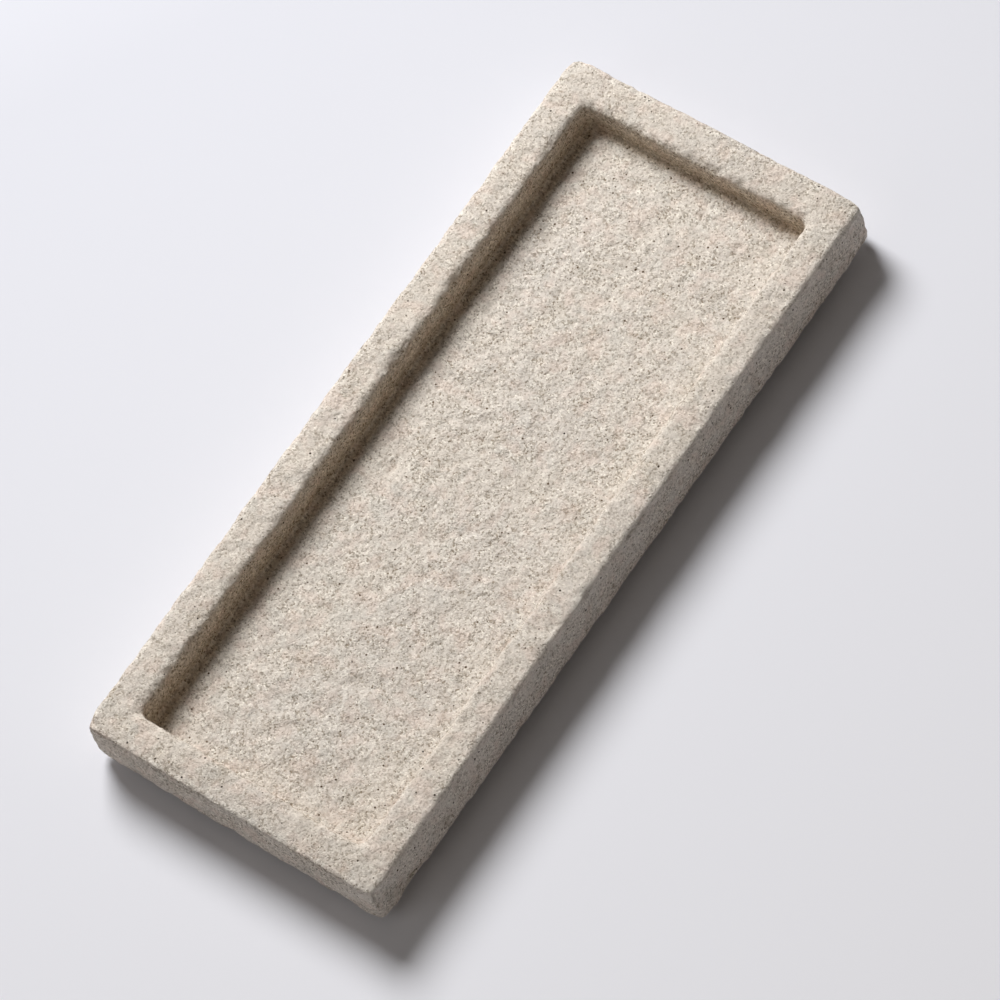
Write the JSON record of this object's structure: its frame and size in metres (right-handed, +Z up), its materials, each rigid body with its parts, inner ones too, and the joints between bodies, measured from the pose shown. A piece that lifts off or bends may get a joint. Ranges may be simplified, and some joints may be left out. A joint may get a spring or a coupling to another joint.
{
  "type": "tea tray",
  "caption": "Shallow rectangular sandstone tray: a thick raised rim round a flat sunken floor, on small stick-on rubber feet.",
  "frame": {"origin": "middle of the footprint, on the surface that the feet stand on", "axes": "+Y along the long sides, +X across to the right-hand long side, +Z up out of the recess"},
  "size_m": [0.11, 0.263, 0.0219],
  "materials": {
    "sandstone": "matte",
    "foot_rubber": "matte",
    "adhesive_film": "matte"
  },
  "bodies": {
    "root": {"tray_body": "sandstone", "foot_near_left": "foot_rubber", "foot_near_right": "foot_rubber", "foot_far_left": "foot_rubber", "foot_far_right": "foot_rubber", "adhesive_disc_near_left": "adhesive_film", "adhesive_disc_near_right": "adhesive_film", "adhesive_disc_far_left": "adhesive_film", "adhesive_disc_far_right": "adhesive_film"}
  },
  "joints": []
}
